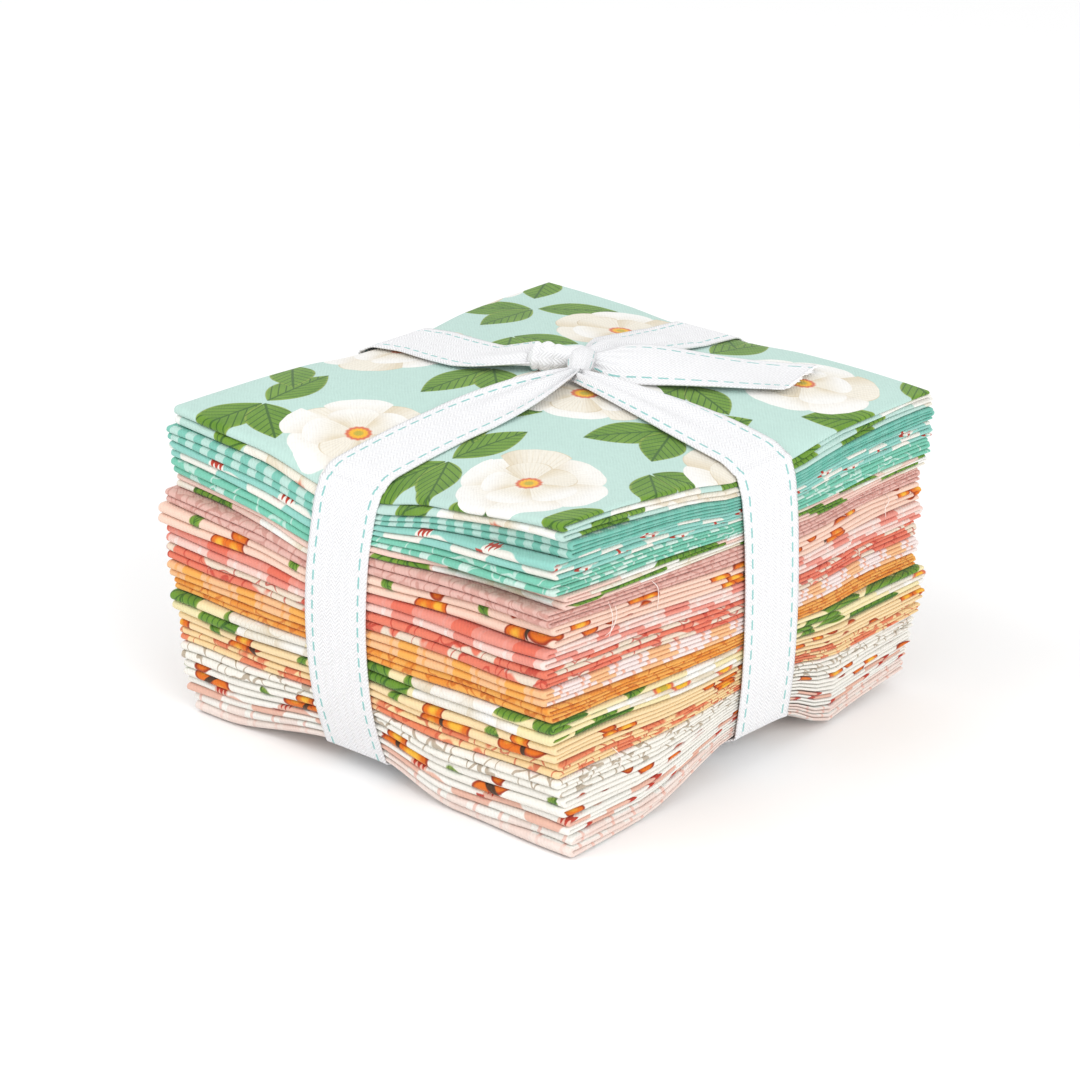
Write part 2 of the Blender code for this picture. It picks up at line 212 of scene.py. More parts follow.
def near_edges(x, y):
    """How near a place is to the plan's edges, from 0 at the middle to 1."""
    return np.minimum(np.abs(x) / HALF_X, PLAN_REACH), np.minimum(np.abs(y) / HALF_Y, PLAN_REACH)


def pinch(x, y):
    """How far the tie draws the top down at a place."""
    near_x, near_y = near_edges(x, y)
    drawn = by_side(TOP_PINCH, y, "+Y", "-Y") * near_y**2 * near_tie(x - RIBBON_X)
    drawn = drawn + by_side(TOP_PINCH, x, "+X", "-X") * near_x**2 * near_tie(y - RIBBON_Y)
    drawn = drawn + EDGE_DROP * smoothstep(*ROUNDS_ALONG_Y, near_y) * (1 - loose(x - RIBBON_X))
    return drawn + EDGE_DROP * smoothstep(*ROUNDS_ALONG_X, near_x) * (1 - loose(y - RIBBON_Y))


def unpinched(x, y):
    """The height of the top where nothing ties it."""
    near_x, near_y = near_edges(x, y)
    dome = DOME * (1 - near_x**2) * (1 - near_y**2)
    corner = np.where(
        x > 0,
        np.where(y > 0, TOP_CORNER["+X", "+Y"], TOP_CORNER["+X", "-Y"]),
        np.where(y > 0, TOP_CORNER["-X", "+Y"], TOP_CORNER["-X", "-Y"]))
    return STACK_HEIGHT + dome + corner * (near_x * near_y) ** 2


def top_height(x, y):
    return unpinched(x, y) - pinch(x, y)


def bottom_height(x, y):
    """How far the base stands off the floor."""
    lift = np.zeros_like(x * y)
    for edge_lift, near, offset in (
            (by_side(BOTTOM_LIFT, y, "+Y", "-Y"), np.abs(y) / HALF_Y, x - RIBBON_X),
            (by_side(BOTTOM_LIFT, x, "+X", "-X"), np.abs(x) / HALF_X, y - RIBBON_Y)):
        ends = np.where((offset < 0) & (y < 0), RISE_ENDS_FRONT, RISE_ENDS)
        across = 1 - smoothstep(RISE_FROM, ends, np.abs(offset))
        rise = BOTTOM_TROUGH + (edge_lift - BOTTOM_TROUGH) * np.minimum(near, BASE_REACH) ** 3
        lift = np.maximum(lift, across * rise)
    corner = ramp(x, *CORNER_RAMP_X) * ramp(y, *CORNER_RAMP_Y)
    return np.maximum(lift, BOTTOM_CORNER_LIFT * corner)


# Each fabric's own unevenness: in its thickness, along its two rolls, and along its layer ends
THICKNESS_WAVES = [Waves(70.0) for _ in ROWS]
ROLL_WAVES = [(Waves(45.0), Waves(45.0)) for _ in ROWS]
BAND_WAVES = [Waves(35.0) for _ in ROWS]


def shares_above(x, y):
    """The share of the height above each boundary between fabrics, at these places."""
    shares = np.array([
        row["share"] * (1 + THICKNESS_VARIES * waves(x, y)) for row, waves in zip(ROWS, THICKNESS_WAVES)])
    boundaries = np.cumsum(shares, axis=0) / shares.sum(axis=0)
    return np.concatenate([np.zeros((1, *shares.shape[1:])), boundaries])


def height_at(share, x, y):
    """The height of the layers that have this share of the stack above them."""
    left = smoothstep(LEFT_BLEND, -LEFT_BLEND, x - RIBBON_X) * smoothstep(0.0, -FRONT_BLEND, y)
    fades = PINCH_FADES + (PINCH_FADES_LEFT - PINCH_FADES) * left
    drawn = pinch(x, y) * (1 - smoothstep(0.0, fades, share))
    return unpinched(x, y) * (1 - share) - drawn + bottom_height(x, y) * share**LIFT_FADES


def tied_face(share, side):
    """How far the tied part of a side stands out past its plan, from the stack's top (0) to its base (1)."""
    share = np.clip(share, 0.0, 1.0)
    at_top = TOP_TUCK * (1 - smoothstep(*TOP_TUCK_SPAN, share))
    at_base = BOTTOM_TUCK[side] * smoothstep(*BOTTOM_TUCK_SPAN, share)
    return FACE_BULGE[side] * np.sin(math.pi * share) - (at_top + at_base) - PULL_IN


def stands_out(first, last, value, half, tie, tied):
    """How far an edge stands out: from its first to its last value where it is free, and as tied else."""
    along = (value + half) / (2 * half)
    free = smoothstep(ZONE_EDGE, FREE_FROM, np.abs(value - tie))
    return free * (first + (last - first) * along) + (1 - free) * tied


def wanders(size, held, waves, offset):
    """How far an edge wanders, with only its held share beneath the tape."""
    return size * waves * (held + (1 - held) * loose(offset))


def run_length(x, y):
    """The length of a line up to each of its points."""
    return np.concatenate([[0], np.cumsum(np.hypot(np.diff(x), np.diff(y)))])


def plies_across(xs_base):
    """A layer's section: places along X, and their rise over its middle as a share of its pitch."""
    left = -HALF_X + LEFT_TURN
    right = HALF_X - RIGHT_TURN
    lower_flap = [(x, -PLY_RISE) for x in np.linspace(-HALF_X + LOWER_FLAP_SHORT, right, 20)[:-1]]
    right_fold = [
        (right + RIGHT_TURN * math.cos(angle), PLY_RISE * math.sin(angle))
        for angle in np.linspace(-0.5 * math.pi, 0.5 * math.pi, 9)]
    base_ply = [(x, PLY_RISE) for x in xs_base[::-1][1:]]
    left_fold = [
        (left + LEFT_TURN * math.cos(angle), PLY_RISE / 2 + PLY_RISE / 2 * math.sin(angle))
        for angle in np.linspace(0.5 * math.pi, 1.5 * math.pi, 5)[1:]]
    tucked_flap = [(x, 0.0) for x in np.linspace(left, HALF_X - TUCKED_FLAP_SHORT, 14)[1:]]
    return np.array(lower_flap + right_fold + base_ply + left_fold + tucked_flap).T


def layers_along(pitch, rise, ys_top):
    """Rows of places along Y and of heights, through four layers and three folds, and the roll of each."""
    half = 0.5 * pitch
    crest = FOLD_STRETCH * (half + PLY_RISE * pitch)
    turn_front = crest - HALF_Y
    turn_back = HALF_Y - crest
    rows_y, rows_h, rolls = [], [], []
    for layer in range(LAYERS):
        inner = ys_top if layer == 0 else np.linspace(turn_front + 3, turn_back - 4, 18)
        back = HALF_Y - CUT_ENDS[layer] if layer in CUT_ENDS else turn_back
        ys = np.concatenate([[turn_front], inner, [back]])
        centre = (LAYERS - layer - 0.5) * pitch
        to_front = layer % 2 == 0
        side = 1 if to_front else -1
        for y in ys[::-1] if to_front else ys:
            rows_y.append(np.full_like(rise, y))
            rows_h.append(centre + side * rise)
        steps = FRONT_STEPS if to_front else BACK_STEPS
        angles = np.linspace(0, math.pi, steps + 2)[1:-1] if layer < LAYERS - 1 else ()
        turn = turn_front if to_front else turn_back
        radius = half + side * rise
        for angle in angles:
            sine = math.sin(angle) ** FOLD_SQUARE[0]
            cosine = math.copysign(abs(math.cos(angle)) ** FOLD_SQUARE[1], math.cos(angle))
            rows_y.append(turn - side * FOLD_STRETCH * radius * sine)
            rows_h.append(centre - half + radius * cosine)
        rolls += [layer // 2] * (len(ys) + len(angles))
    return np.array(rows_y), np.array(rows_h), np.array(rolls)


def edges_moved(index, x, y, depth, layer_of, rolls):
    """The places with the fabric's edges moved out or in, each as it is free or tied."""
    row = ROWS[index]
    tied = {side: tied_face(depth, side) for side in FACE_BULGE}
    first_roll, second_roll = ROLL_WAVES[index]
    roll_wave = np.where(rolls[:, None] == 0, first_roll(x, 0 * x), second_roll(x, 0 * x))
    band_wave = BAND_WAVES[index](y, LAYER_STEP * layer_of)
    out_front = stands_out(row["roll_left"], row["roll_front"], x, HALF_X, RIBBON_X, tied["-Y"])
    out_front = out_front + wanders(ROLL_WANDERS, ROLL_HELD, roll_wave, x - RIBBON_X)
    out_back = stands_out(-0.5 * row["left"], row["back_right"], x, HALF_X, RIBBON_X, tied["+Y"])
    out_right = stands_out(row["side_front"], row["side_right"], y, HALF_Y, RIBBON_Y, tied["+X"])
    out_right = out_right + wanders(BAND_WANDERS, BAND_HELD, band_wave, y - RIBBON_Y)
    out_left = stands_out(row["left"], 0.4 * row["left"], y, HALF_Y, RIBBON_Y, tied["-X"])
    to_right, to_left = (smoothstep(EDGE_MOVES_FROM, HALF_X, value) for value in (x, -x))
    to_back, to_front = (smoothstep(EDGE_MOVES_FROM, HALF_Y, value) for value in (y, -y))
    return x + out_right * to_right - out_left * to_left, y - out_front * to_front + out_back * to_back


def fabric_points(index, xs_base, ys_top):
    """A fabric's grid of points in mm, and its flat lengths along the rows and across the columns."""
    pitch = STACK_HEIGHT / len(ROWS) / LAYERS * ROWS[index]["share"]
    across_x, rise = plies_across(xs_base)
    rise = rise * pitch
    y, h, rolls = layers_along(pitch, rise, ys_top)
    x = np.broadcast_to(across_x, y.shape).copy()

    # Lengths along the cloth start at the crest of the first roll, which ends the top layer and its fold
    line_y, line_h = y[:, MIDDLE_COLUMN], h[:, MIDDLE_COLUMN]
    flat_s = run_length(line_y, line_h)
    flat_s = flat_s - flat_s[np.argmin(line_y[:len(ys_top) + 2 + FRONT_STEPS])]
    flat_t = run_length(across_x, rise)

    # The uneven edges, then the stack's own rise and fall
    down = 1 - h / (LAYERS * pitch)
    layer_of = np.clip(np.floor(LAYERS - h / pitch), 0, LAYERS - 1)
    above = shares_above(x, y)
    depth = above[index] + (above[index + 1] - above[index]) * down
    x, y = edges_moved(index, x, y, depth, layer_of, rolls)
    above = shares_above(x, y)
    share = FABRIC_GAP + (1 - 2 * FABRIC_GAP) * down
    z = height_at(above[index], x, y) * (1 - share) + height_at(above[index + 1], x, y) * share
    return np.stack([x, y, z], axis=-1), flat_s, flat_t


def cloth_object(name, places, faces, flat):
    """An object through places in mm, with each one's flat cloth coordinates in mm as a UV map."""
    mesh = bpy.data.meshes.new(name)
    mesh.from_pydata(((places - (*BOX_MIDDLE, 0.0)) * MM).tolist(), [], faces)
    uv = mesh.uv_layers.new(name="Cloth")
    corner = np.zeros(len(mesh.loops), np.int32)
    mesh.loops.foreach_get("vertex_index", corner)
    uv.data.foreach_set("uv", (flat / UV_SPAN)[corner].reshape(-1).astype(np.float32))
    mesh.shade_smooth()
    made = bpy.data.objects.new(name, mesh)
    bpy.context.scene.collection.objects.link(made)
    return made


def grid_mesh(name, points, flat_s, flat_t):
    """A sheet through a grid of points in mm, with its flat lengths along the rows and across the columns."""
    rows, columns = points.shape[:2]
    vertex = np.arange(rows * columns).reshape(rows, columns)
    faces = np.stack([vertex[:-1, :-1], vertex[:-1, 1:], vertex[1:, 1:], vertex[1:, :-1]], axis=-1)
    along, across = np.meshgrid(flat_s, flat_t, indexing="ij")
    flat = np.stack([across.reshape(-1), along.reshape(-1)], axis=-1)
    return cloth_object(name, points.reshape(-1, 3), faces.reshape(-1, 4).tolist(), flat)


class Value:
    """A number socket of a material, so that shader maths can be written as expressions."""

    def __init__(self, paint, socket):
        self.paint = paint
        self.socket = socket

    def maths(self, operation, *others):
        return self.paint.maths(operation, self, *others)

    def __add__(self, other):
        return self.maths("ADD", other)

    def __sub__(self, other):
        return self.maths("SUBTRACT", other)

    def __mul__(self, other):
        return self.maths("MULTIPLY", other)

    def __truediv__(self, other):
        return self.maths("DIVIDE", other)

    def __pow__(self, other):
        return self.maths("POWER", other)

    def __radd__(self, other):
        return self.paint.maths("ADD", other, self)

    def __rsub__(self, other):
        return self.paint.maths("SUBTRACT", other, self)

    def __rmul__(self, other):
        return self.paint.maths("MULTIPLY", other, self)

    def __neg__(self):
        return self.maths("MULTIPLY", -1.0)

    def __abs__(self):
        return self.maths("ABSOLUTE")

    def floor(self):
        return self.maths("FLOOR")

    def fract(self):
        return self.maths("FRACT")

    def sin(self):
        return self.maths("SINE")

    def cos(self):
        return self.maths("COSINE")

    def least(self, other):
        return self.maths("MINIMUM", other)

    def most(self, other):
        return self.maths("MAXIMUM", other)

    def edge(self, softness):
        """1 where the value is above 0, over a soft edge of this width."""
        return self.paint.maths("MULTIPLY_ADD", self, 1.0 / softness, 0.5, clamp=True)


class Paint:
    """One material, its nodes, and the cloth coordinates in mm."""

    def __init__(self, name, roughness=0.86, shift=(0.0, 0.0)):
        self.material = bpy.data.materials.new(name)
        self.material.use_nodes = True
        self.tree = self.material.node_tree
        self.shader = self.tree.nodes["Principled BSDF"]
        self.shader.inputs["Roughness"].default_value = roughness
        self.shader.inputs["Specular IOR Level"].default_value = 0.25
        self.shader.inputs["Sheen Weight"].default_value = 0.15
        self.shader.inputs["Sheen Roughness"].default_value = 0.5
        uv = self.node("ShaderNodeUVMap", {"uv_map": "Cloth"})
        split = self.node("ShaderNodeSeparateXYZ", {}, {"Vector": uv.outputs["UV"]})
        self.u = Value(self, split.outputs["X"]) * UV_SPAN + shift[0]
        self.v = Value(self, split.outputs["Y"]) * UV_SPAN + shift[1]

    def node(self, kind, settings=None, sockets=None):
        made = self.tree.nodes.new(kind)
        for key, value in (settings or {}).items():
            setattr(made, key, value)
        for key, value in (sockets or {}).items():
            self.feed(made.inputs[key], value)
        return made

    def feed(self, socket, value):
        if isinstance(value, Value):
            self.tree.links.new(value.socket, socket)
        elif isinstance(value, bpy.types.NodeSocket):
            self.tree.links.new(value, socket)
        elif isinstance(value, tuple) and len(value) == 3 and socket.type == "RGBA":
            socket.default_value = (*value, 1.0)
        else:
            socket.default_value = value

    def maths(self, operation, *values, clamp=False):
        made = self.node("ShaderNodeMath", {"operation": operation, "use_clamp": clamp})
        for place, value in enumerate(values):
            self.feed(made.inputs[place], value)
        return Value(self, made.outputs[0])

    def vector(self, x, y, z=0.0):
        return self.node("ShaderNodeCombineXYZ", {}, {"X": x, "Y": y, "Z": z}).outputs[0]

    def random(self, x, y, salt=0.0):
        """Three random numbers for a cell."""
        made = self.node("ShaderNodeTexWhiteNoise", {"noise_dimensions": "3D"},
                         {"Vector": self.vector(x, y, salt)})
        split = self.node("ShaderNodeSeparateColor", {}, {"Color": made.outputs["Color"]})
        return [Value(self, split.outputs[place]) for place in range(3)]

    def noise(self, scale, detail=2.0, x=None, y=None):
        """Slow noise about 0, over cloth coordinates. scale is its size in mm."""
        x = self.u if x is None else x
        y = self.v if y is None else y
        made = self.node("ShaderNodeTexNoise", {"noise_dimensions": "2D"},
                         {"Vector": self.vector(x, y), "Scale": 1.0 / scale, "Detail": detail})
        return Value(self, made.outputs["Fac"]) - 0.5

    def mix(self, factor, first, second):
        made = self.node("ShaderNodeMix", {"data_type": "RGBA", "clamp_factor": True})
        self.feed(made.inputs[0], factor)
        self.feed(made.inputs[6], first)
        self.feed(made.inputs[7], second)
        return made.outputs[2]

    def shaded(self, colour, shade):
        """The colour, made lighter or darker by a share."""
        made = self.node("ShaderNodeVectorMath", {"operation": "SCALE"}, {0: colour, "Scale": shade})
        return made.outputs[0]

    def angle(self, y, x):
        return self.maths("ARCTAN2", y, x)

    def length(self, x, y):
        return (x * x + y * y) ** 0.5

    def finish(self, colour, height, strength, distance):
        """Joins the colour and the bump to the shader."""
        bump = self.node("ShaderNodeBump", {}, {"Strength": strength, "Distance": distance, "Height": height})
        self.feed(self.shader.inputs["Normal"], bump.outputs[0])
        self.feed(self.shader.inputs["Base Color"], colour)
        return self.material


def srgb(red, green, blue):
    """A colour as a picture gives it, 0 to 255, as the linear one that a shader takes."""
    def linear(value):
        value /= 255
        return value / 12.92 if value <= 0.04045 else ((value + 0.055) / 1.055) ** 2.4
    return tuple(linear(value) for value in (red, green, blue))


def turned(x, y, angle):
    """The same place in a frame turned by an angle, which may be a number or a Value."""
    if isinstance(angle, Value):
        cosine, sine = angle.cos(), angle.sin()
    else:
        cosine, sine = math.cos(angle), math.sin(angle)
    return x * cosine + y * sine, y * cosine - x * sine


def cells(paint, width, height, salt=0.0, slide=0.5, place=(0.0, 0.0)):
    """A brick layout: the place inside each cell, from its middle, and its random numbers."""
    v = (paint.v + place[1]) / height
    row = v.floor()
    shifted = (paint.u + place[0]) / width + row * slide
    column = shifted.floor()
    x = (shifted - column - 0.5) * width
    y = (v - row - 0.5) * height
    return x, y, paint.random(column, row, salt)


# Colours that the prints share
LEAF_GREEN = srgb(96, 142, 42)
LEAF_LIGHT = srgb(124, 166, 58)
LEAF_DARK = srgb(52, 96, 34)
LEAF_RIM = srgb(150, 172, 72)
PETAL = srgb(246, 240, 226)
PETAL_SHADE = srgb(228, 213, 184)
PETAL_LINE = srgb(216, 198, 164)
PETAL_LIGHT = srgb(254, 253, 250)
HEART_YELLOW = srgb(250, 190, 50)
HEART_CORAL = srgb(224, 118, 84)
WING_RIM = srgb(170, 60, 22)
WING_ORANGE = srgb(232, 118, 28)
WING_YELLOW = srgb(252, 190, 60)
WING_BODY = srgb(78, 52, 34)
COMB_RED = srgb(196, 66, 48)

FULL_TURN = 6.283
# Butterflies and birds stand in brick layouts of these cells, across and along the cloth
BUTTERFLY_CELL = (34.0, 22.0)
BIRD_CELL = (25.0, 17.38)


def leaf(paint, colour, x, y, length, width, fine=1.0):
    """A pointed leaf along x, with its veins and a lighter rim."""
    share = (x * (2.0 / length)).least(1.4).most(-1.4)
    half = (1.0 - share * share) * (1.0 - share * 0.18) * (0.5 * width)
    inside = half - abs(y)
    mask = inside.edge(0.35)
    rim = (0.55 - inside).edge(0.4)
    slant = (-x + abs(y) * 1.25) / (3.1 * fine)
    veins = (0.09 - abs(slant.fract() - 0.5)).edge(0.07)
    midrib = (0.34 * fine - abs(y)).edge(0.25)
    body = paint.mix(paint.noise(9.0, 2.0) * 1.4 + 0.4, LEAF_GREEN, LEAF_LIGHT)
    body = paint.mix(rim * 0.7, body, LEAF_RIM)
    body = paint.mix(veins.most(midrib) * 0.85, body, LEAF_DARK)
    return paint.mix(mask, colour, body)


def petals(paint, colour, far, turn, radius, count, luck, salt):
    """One ring of broad petals that overlap, shaded where one lies under the next."""
    round_turn = turn * (count / (2 * math.pi)) + luck[2] * count
    petal = (round_turn + 0.5).floor()
    local = round_turn - petal
    uneven = paint.random(petal, luck[0] * 57.0, salt)
    reach = radius * (0.86 + uneven[0] * 0.16)
    angle = local * (2 * math.pi / count)
    along = angle.cos() * far / reach
    across = angle.sin() * far / reach
    side = (1.0 - (along * 2.0 - 1.0) ** 2.0).most(0.0) ** 0.5 * (0.36 + along * 0.24)
    inside = (side - abs(across) - (along - 0.96).most(0.0) * 4.0) * radius
    mask = inside.edge(0.35)
    under = (local - 0.26).edge(0.34)
    rim = (0.5 - inside).edge(0.4)
    fine = (0.13 - abs((local * 11.0).fract() - 0.5)).edge(0.12) * (0.9 - along).edge(0.5) * 0.28
    body = paint.mix(under * 0.75, PETAL, PETAL_SHADE)
    body = paint.mix(fine.most(rim * 0.8), body, PETAL_LINE)
    body = paint.mix((uneven[1] - 0.45).edge(0.1) * (along - 0.62).edge(0.4) * 0.9, body, PETAL_LIGHT)
    return paint.mix(mask, colour, body)


def flower(paint, colour, x, y, radius, luck):
    """An open flower: two rings of petals round a yellow heart with a coral rim."""
    far = paint.length(x, y)
    turn = paint.angle(y, x)
    colour = petals(paint, colour, far, turn, radius, 6.0, luck, 3.0)
    colour = petals(paint, colour, far, turn + 0.5, radius * 0.68, 5.0, luck, 9.0)
    spots = (turn * 13.0).sin() * 0.14
    heart = radius * 0.16 - far + spots
    colour = paint.mix(heart.edge(0.7), colour, HEART_CORAL)
    colour = paint.mix((heart - 1.1).edge(0.6), colour, HEART_YELLOW)
    return paint.mix((heart - 2.4).edge(0.6) * 0.6, colour, LEAF_RIM)


# Flowers stand in a brick layout of these cells. Leaves spread from two more points of each cell: each
# leaf's angle in radians, its length and its width
GARDEN_CELL = (66.0, 54.0)
FLOWER_RADIUS = 23.5
THREE_LEAVES = ((0.3, 25.0, 14.0), (1.25, 22.0, 12.5), (3.6, 24.0, 13.5))
TWO_LEAVES = ((0.9, 23.0, 13.0), (2.1, 21.0, 12.0))


def leaf_group(paint, colour, place, leaves, salt, swing):
    """Leaves that spread from a point of each cell, swung round by the cell's own luck."""
    x, y, luck = cells(paint, *GARDEN_CELL, salt, place=place)
    x, y = turned(x, y, luck[0] * swing)
    for angle, length, width in leaves:
        leaf_x, leaf_y = turned(x, y, angle)
        colour = leaf(paint, colour, leaf_x - length * 0.54, leaf_y, length, width)
    return colour


def garden(paint, ground):
    """Large cream flowers, with leaves in twos and threes that spread from between them."""
    width, height = GARDEN_CELL
    colour = leaf_group(paint, ground, (0.5 * width, 0.0), THREE_LEAVES, 21.0, 1.2)
    colour = leaf_group(paint, colour, (0.22 * width, 0.5 * height), TWO_LEAVES, 22.0, 2.4)
    x, y, luck = cells(paint, width, height, 1.0)
    x, y = turned(x + luck[1] * 6.0 - 3.0, y, luck[0] * FULL_TURN)
    return flower(paint, colour, x, y * 1.12, FLOWER_RADIUS, luck)


def wing(paint, x, y, centre, size, turn):
    """An oval wing: above 0 inside, 1 at its middle."""
    wing_x, wing_y = turned(x - centre[0], y - centre[1], turn)
    return 1.0 - paint.length(wing_x / size[0], wing_y / size[1])


def butterflies(paint, ground):
    """Small orange butterflies, far apart, with a leaf or two."""
    x, y, luck = cells(paint, *BUTTERFLY_CELL, 2.0)
    wing_x, wing_y = turned(x + luck[1] * 6.0 - 3.0, y, luck[0] * FULL_TURN)
    wing_x = wing_x * 0.86
    wing_y = wing_y * 0.86
    side = abs(wing_x)
    upper = wing(paint, side, wing_y, (4.2, 2.0), (4.8, 2.9), 0.45)
    lower = wing(paint, side, wing_y, (2.9, -2.9), (3.2, 2.3), -0.6)
    inside = upper.most(lower)
    colour = paint.mix(inside.edge(0.08), ground, WING_RIM)
    colour = paint.mix((inside - 0.16).edge(0.12), colour, WING_ORANGE)
    colour = paint.mix((inside - 0.55).edge(0.3), colour, WING_YELLOW)
    body = 1.0 - paint.length(wing_x / 0.6, (wing_y + 0.3) / 3.6)
    colour = paint.mix(body.edge(0.2), colour, WING_BODY)
    leaf_x, leaf_y = turned(x - 13.0, y - 8.0, luck[2] * FULL_TURN)
    return leaf(paint, colour, leaf_x, leaf_y, 6.5, 3.4, fine=0.5)


def birds(paint, ground, body_colour, line_colour):
    """Small plump birds with a red comb and thin outlined legs."""
    x, y, luck = cells(paint, *BIRD_CELL, 4.0)
    y = luck[1] * 1.2 - 0.6 - y
    flank = 1.0 - paint.length(x / 7.4, y / 5.0)
    neck = 1.0 - paint.length((x - 5.2) / 2.9, (y - 3.4) / 3.8)
    inside = flank.most(neck)
    two_lines = (0.35 - abs(abs(x + (y * 2.0).sin() * 0.4) - 1.6)).edge(0.2)
    legs = two_lines * (-3.2 - y).edge(0.4) * (y + 8.2).edge(0.4)
    colour = paint.mix(legs, ground, line_colour)
    colour = paint.mix(inside.edge(0.06), colour, body_colour)
    comb = 1.0 - paint.length((x - 5.4) / 2.5, (y - 6.1 + (x * 4.0).sin() * 0.7) / 1.5)
    beak = (0.5 - abs(y - 3.4)).edge(0.2) * (x - 7.6).edge(0.3) * (10.2 - x).edge(0.3)
    return paint.mix(comb.edge(0.1).most(beak), colour, COMB_RED)


def stripes(value, width, gap, soft=0.25):
    """1 on stripes of this width, at this spacing."""
    place = (value / gap).fract() * gap
    return (width / 2 - abs(place - gap / 2)).edge(soft)


def checks(paint, ground, second, third, size):
    """A woven check of two stripes that cross."""
    across = stripes(paint.u, size / 2, size)
    along = stripes(paint.v, size / 2, size)
    colour = paint.mix((across + along) * 0.5, ground, second)
    return paint.mix(across * along, colour, third)


def plaid(paint, ground, broad, fine, size):
    """Broad bands with narrow lines on both sides, both ways."""
    colour = ground
    for value in (paint.u, paint.v + 3.0):
        colour = paint.mix(stripes(value, size * 0.34, size) * 0.72, colour, broad)
        for shift in (0.30, 0.70):
            colour = paint.mix(stripes(value + size * shift, size * 0.05, size) * 0.6, colour, fine)
    both = stripes(paint.u, size * 0.34, size) * stripes(paint.v + 3.0, size * 0.34, size)
    return paint.mix(both * 0.8, colour, broad)


def drawn_lines(paint, size, width, salt):
    """Thin hand-drawn lines, as round leaves and petals."""
    bent_u = paint.u + paint.noise(size * 0.9, 1.0) * size * 1.3 + salt
    bent_v = paint.v + paint.noise(size * 1.1, 1.0, paint.v, paint.u) * size * 1.3
    made = paint.node("ShaderNodeTexVoronoi", {"voronoi_dimensions": "2D", "feature": "DISTANCE_TO_EDGE"},
                      {"Vector": paint.vector(bent_u, bent_v), "Scale": 1.0 / size})
    return (width / size - Value(paint, made.outputs["Distance"])).edge(0.5 * width / size)


def sketch(paint, ground, line_colour, second, size):
    """Loose drawn lines with small blocks here and there."""
    colour = paint.mix(drawn_lines(paint, size, 0.35, 0.0) * 0.75, ground, line_colour)
    x, y, luck = cells(paint, 5.0, 5.0, 5.0, slide=0.0)
    block = (1.6 - abs(x).most(abs(y))).edge(0.3) * (luck[0] - 0.72).edge(0.02)
    return paint.mix(block * 0.85, colour, second)


def patches(paint, ground, patch, line_colour, size):
    """Soft patches of a second colour, and fine darker lines over both."""
    blot = (paint.noise(size, 1.5) - 0.03).edge(0.02)
    colour = paint.mix(blot, ground, patch)
    return paint.mix(drawn_lines(paint, size * 0.55, 0.3, 20.0) * 0.8, colour, line_colour)


# Each print: what draws it, its colours in red, green and blue, and its repeat in mm where it takes one
PRINTS = {
    "garden_aqua": (garden, [(196, 227, 218)]),
    "garden_pink": (garden, [(247, 212, 199)]),
    "garden_yellow": (garden, [(250, 236, 186)]),
    "gingham_teal": (checks, [(118, 196, 178), (140, 206, 190), (192, 227, 217)], 5.6),
    "birds_aqua": (birds, [(152, 214, 202), (246, 243, 234), (86, 82, 48)]),
    "birds_cream": (birds, [(252, 250, 243), (240, 192, 172), (150, 140, 120)]),
    "sketch_sea": (sketch, [(128, 207, 182), (214, 240, 230), (226, 244, 236)], 9.0),
    "sketch_rose": (sketch, [(234, 188, 177), (206, 146, 134), (222, 168, 156)], 4.5),
    "butterfly_peach": (butterflies, [(252, 217, 198)]),
    "butterfly_apricot": (butterflies, [(253, 226, 178)]),
    "butterfly_cream": (butterflies, [(252, 249, 241)]),
    "plaid_coral": (plaid, [(251, 214, 203), (236, 116, 92), (250, 240, 234)], 22.6),
    "plaid_yellow": (plaid, [(252, 236, 232), (250, 180, 84), (244, 150, 90)], 20.0),
    "plaid_cream": (plaid, [(252, 250, 244), (248, 226, 216), (240, 176, 156)], 21.0),
    "patch_coral": (patches, [(238, 130, 104), (242, 226, 206), (202, 70, 54)], 14.0),
    "patch_orange": (patches, [(246, 178, 88), (240, 156, 62), (212, 116, 44)], 12.0),
    "patch_apricot": (patches, [(253, 222, 168), (238, 140, 100), (214, 96, 66)], 14.0),
    "line_cream": (sketch, [(252, 249, 240), (170, 148, 118), (252, 249, 240)], 6.5),
}


# How far these prints are moved across and along the cloth, so that their rows land on the folds. The
# others are moved by steps down the stack, from TOP_LAND
PRINT_LANDS = {
    "birds_aqua": (6.0, 4.2),
    "birds_cream": (2.0, 4.2),
    "plaid_coral": (0.0, 8.3),
    "plaid_yellow": (0.0, 7.0),
}
TOP_LAND = 153.0
LAND_STEPS = (17.3, 29.1)
# Two threads' spacing as it shows across the cloth's diagonal, and the share of light that cloth gives back
WEAVE_PITCH = 1.15
CLOTH_SHADE = 0.80


def cotton(name, print_name, shift):
    """Plain-woven cotton with its print: fine threads both ways, shown as a bump and as painted shade in the
    colour, and a little uneven in colour.
    """
    paint = Paint(name, shift=shift)
    draw, colours, *size = PRINTS[print_name]
    colour = draw(paint, *(srgb(*colour) for colour in colours), *size)
    drift = paint.noise(7.0, 2.0) * 1.2
    threads_both_ways = ((paint.u + paint.v + drift) * (2 * math.pi / WEAVE_PITCH)).sin()
    weave_bump_and_shade = threads_both_ways * (paint.noise(4.0, 2.0) * 1.6 + 0.7)
    slub = paint.noise(1.3, 3.0) * 0.9
    # The weave term is painted shade between the threads, as well as the bump; the slub and slow noise are
    # the cotton's own uneven tone
    shade = (weave_bump_and_shade * 0.034 + slub * 0.12 + paint.noise(28.0, 1.0) * 0.05) * CLOTH_SHADE + CLOTH_SHADE
    return paint.finish(paint.shaded(colour, shade), weave_bump_and_shade * 0.6 + slub, strength=0.5, distance=0.00014)


